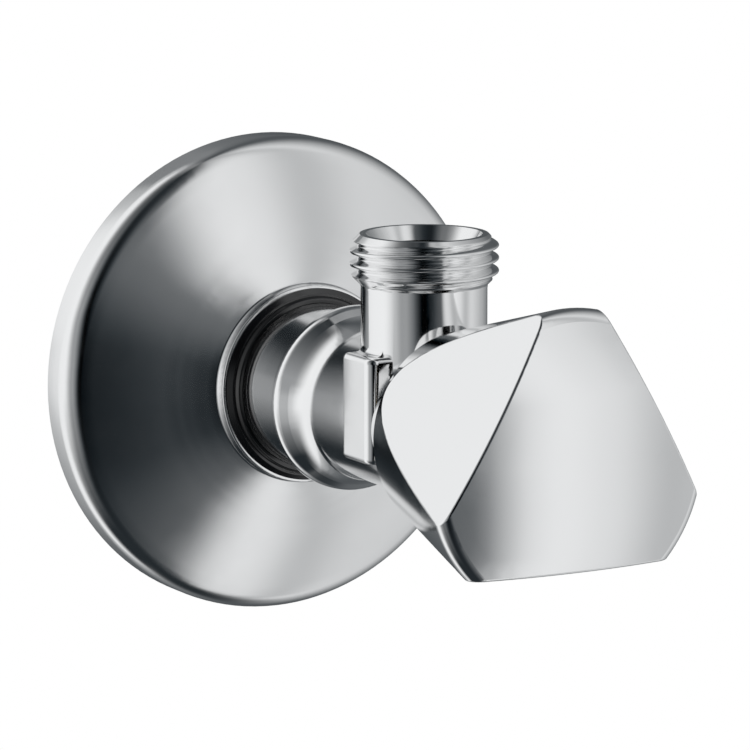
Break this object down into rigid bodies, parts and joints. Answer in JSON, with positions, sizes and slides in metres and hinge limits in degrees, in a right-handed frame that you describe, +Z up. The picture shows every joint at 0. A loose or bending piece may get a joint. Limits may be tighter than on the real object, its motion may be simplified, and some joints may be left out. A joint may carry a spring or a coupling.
{
  "type": "angle valve",
  "caption": "Chrome wall angle valve with a threaded upright outlet, a sliding conical escutcheon and a flared three-sided handle that turns a screw-down plunger.",
  "frame": {"origin": "on the inlet axis, in the plane of the finished wall", "axes": "+Y along the inlet into the wall, -Y out towards the handle, +Z up along the outlet, +X to the right seen from the front"},
  "size_m": [0.0706, 0.105, 0.0706],
  "materials": {
    "chrome_body": "bright chrome plate on brass",
    "chrome_handle": "bright chrome plate on die-cast metal",
    "chrome_escutcheon": "bright chrome plate on pressed brass",
    "bare_brass": "machined brass",
    "spring_steel": "stainless steel",
    "white_plastic": "moulded acetal",
    "seal_rubber": "matt black rubber"
  },
  "bodies": {
    "valve": {"valve_body": "chrome_body", "bonnet": "bare_brass", "joint_seal": "seal_rubber", "thrust_washer": "white_plastic"},
    "handle": {"handle": "chrome_handle", "handle_insert": "white_plastic", "spindle": "bare_brass", "spindle_o_ring_inner": "seal_rubber", "spindle_o_ring_outer": "seal_rubber", "spindle_clip": "spring_steel"},
    "plunger": {"plunger": "bare_brass", "seat_washer": "seal_rubber", "washer_screw": "spring_steel"},
    "cover": {"escutcheon": "chrome_escutcheon", "escutcheon_seal": "seal_rubber"}
  },
  "joints": [
    {"name": "handle_turn", "type": "hinge", "parent": "valve", "child": "handle", "pos_m": [0, -0.07, 0], "axis": [0, -1, 0], "range_deg": [0, 810]},
    {"name": "plunger_slide", "type": "slide", "parent": "valve", "child": "plunger", "axis": [0, -1, 0], "range_m": [0, 0.0045]},
    {"name": "cover_slide", "type": "slide", "parent": "valve", "child": "cover", "axis": [0, -1, 0], "range_m": [0, 0.008]}
  ],
  "couplings": [
    {"joint": "plunger_slide", "follows": "handle_turn", "m_per_rad": 0.0003183}
  ]
}
